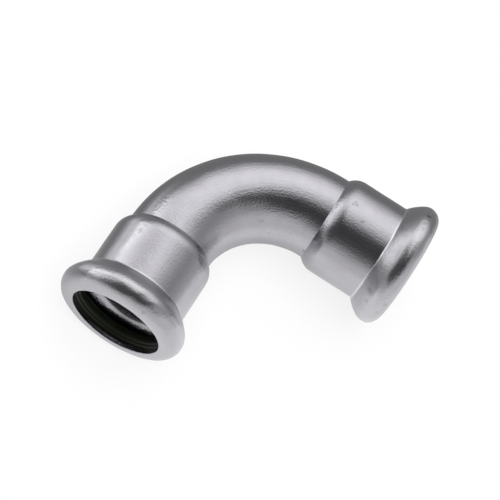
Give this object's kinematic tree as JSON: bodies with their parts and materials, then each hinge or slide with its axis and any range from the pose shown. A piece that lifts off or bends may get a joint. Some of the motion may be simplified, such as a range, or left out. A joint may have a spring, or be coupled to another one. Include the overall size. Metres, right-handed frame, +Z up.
{
  "type": "press fit pipe elbow",
  "caption": "Right-angle pipe elbow formed from steel tube, with a press socket at each end and a rubber O-ring held in the bead of each socket.",
  "frame": {"origin": "on the surface that the elbow lies on, under the middle of its box", "axes": "+Z up from that surface; the outlet opens towards +X and the inlet towards -Y, both about 9 degrees above level, because it lies on both beads and the heel of the bend"},
  "size_m": [0.071, 0.071, 0.0322],
  "materials": {
    "steel": "satin, as formed, with a thin zinc coat",
    "seal": "matte moulded rubber"
  },
  "bodies": {
    "root": {"elbow_body": "steel", "inlet_o_ring": "seal", "outlet_o_ring": "seal"}
  },
  "joints": []
}
